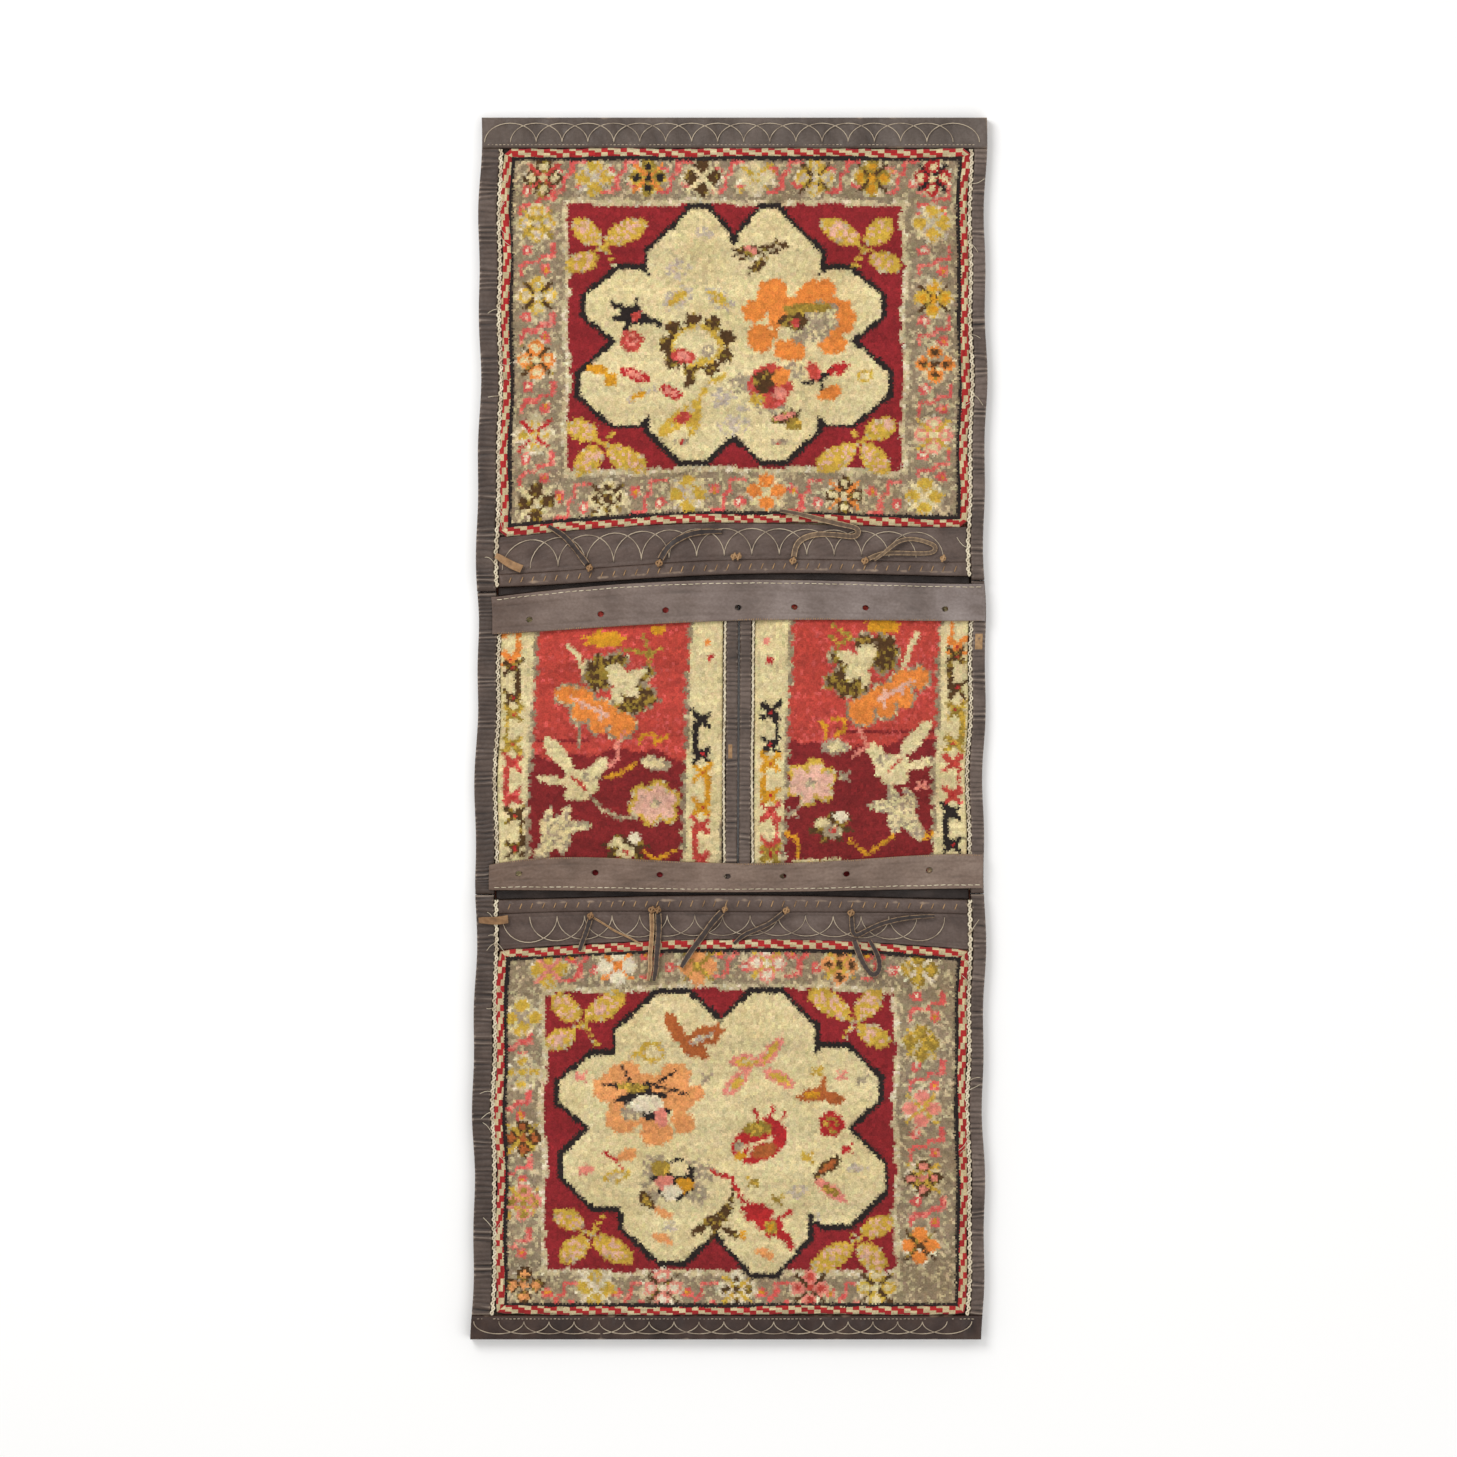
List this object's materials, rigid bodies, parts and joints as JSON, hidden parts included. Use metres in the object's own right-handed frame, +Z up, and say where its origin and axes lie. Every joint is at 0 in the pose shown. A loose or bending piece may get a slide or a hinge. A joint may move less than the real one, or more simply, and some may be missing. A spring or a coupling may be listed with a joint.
{
  "type": "saddle bag",
  "caption": "Double saddle bag of knotted pile carpet bound in dark leather: a slit bridge with a pouch, laced mouth and closing strap at each end.",
  "frame": {"origin": "on the ground under the middle of the bag laid flat", "axes": "+Y along the bag towards the upper pouch, +X across it, +Z up out of the pile"},
  "size_m": [0.534, 1.284, 0.0224],
  "materials": {
    "wool_pile": "knotted wool pile in madder red, cream, gold, orange, brown and grey",
    "flat_weave": "plain woven wool in narrow stripes",
    "bridle_leather": "dark worn leather, grain side",
    "gusset_leather": "dark gathered leather with pleats",
    "flesh_leather": "tan flesh side of the leather",
    "thong_leather": "folded laces, dark on the grain side",
    "linen_thread": "cream waxed linen thread and seam cord",
    "edge_wool": "two-colour wool edge cord in red and cream"
  },
  "bodies": {
    "bridge": {"bridge_lining_left": "flat_weave", "bridge_lining_right": "flat_weave", "bridge_carpet_left": "wool_pile", "bridge_carpet_right": "wool_pile", "bridge_binding_left": "gusset_leather", "bridge_binding_right": "gusset_leather", "slit_binding_left": "gusset_leather", "slit_binding_right": "gusset_leather", "bridge_seam_cords": "linen_thread", "upper_welt": "bridle_leather", "lower_welt": "bridle_leather", "bridge_patches": "bridle_leather"},
    "upper_pouch": {"upper_back": "flat_weave", "upper_end_band": "bridle_leather", "upper_gusset_left": "gusset_leather", "upper_gusset_right": "gusset_leather"},
    "upper_front": {"upper_front_lining": "flat_weave", "upper_carpet": "wool_pile", "upper_mouth_band": "bridle_leather", "upper_lip": "bridle_leather", "upper_edge_cord": "edge_wool", "upper_seam_cords": "linen_thread", "upper_whip_stitches": "linen_thread", "upper_thong_knots": "flesh_leather", "upper_tab": "flesh_leather", "upper_thong_left": "thong_leather", "upper_thong_curved": "thong_leather", "upper_thong_folded": "thong_leather", "upper_thong_doubled": "thong_leather"},
    "upper_closing_strap": {"upper_strap": "bridle_leather", "upper_strap_stitches": "linen_thread"},
    "lower_pouch": {"lower_back": "flat_weave", "lower_end_band": "bridle_leather", "lower_gusset_left": "gusset_leather", "lower_gusset_right": "gusset_leather"},
    "lower_front": {"lower_front_lining": "flat_weave", "lower_carpet": "wool_pile", "lower_mouth_band": "bridle_leather", "lower_lip": "bridle_leather", "lower_edge_cord": "edge_wool", "lower_seam_cords": "linen_thread", "lower_whip_stitches": "linen_thread", "lower_thong_knots": "flesh_leather", "lower_tab": "flesh_leather", "lower_thong_left": "thong_leather", "lower_thong_tan": "flesh_leather", "lower_thong_dark": "thong_leather", "lower_thong_middle": "thong_leather", "lower_thong_right": "thong_leather", "lower_thong_turned": "thong_leather", "lower_thong_loop": "thong_leather", "lower_loose_strand": "flesh_leather"},
    "lower_closing_strap": {"lower_strap": "bridle_leather", "lower_strap_stitches": "linen_thread"}
  },
  "joints": [
    {"name": "upper_fold", "type": "hinge", "parent": "bridge", "child": "upper_pouch", "pos_m": [0, 0.1605, 0], "axis": [1, 0, 0], "range_deg": [-100, 0]},
    {"name": "upper_mouth", "type": "hinge", "parent": "upper_pouch", "child": "upper_front", "pos_m": [0, 0.6094, 0.0174], "axis": [1, 0, 0], "range_deg": [-10, 0]},
    {"name": "upper_strap_turn", "type": "hinge", "parent": "bridge", "child": "upper_closing_strap", "pos_m": [0, 0.157, 0.018], "axis": [-1, 0, 0], "range_deg": [0, 180]},
    {"name": "lower_fold", "type": "hinge", "parent": "bridge", "child": "lower_pouch", "pos_m": [0, -0.1766, 0], "axis": [-1, 0, 0], "range_deg": [-100, 0]},
    {"name": "lower_mouth", "type": "hinge", "parent": "lower_pouch", "child": "lower_front", "pos_m": [0, -0.6164, 0.0174], "axis": [-1, 0, 0], "range_deg": [-10, 0]},
    {"name": "lower_strap_turn", "type": "hinge", "parent": "bridge", "child": "lower_closing_strap", "pos_m": [0, -0.1731, 0.018], "axis": [1, 0, 0], "range_deg": [0, 180]}
  ]
}
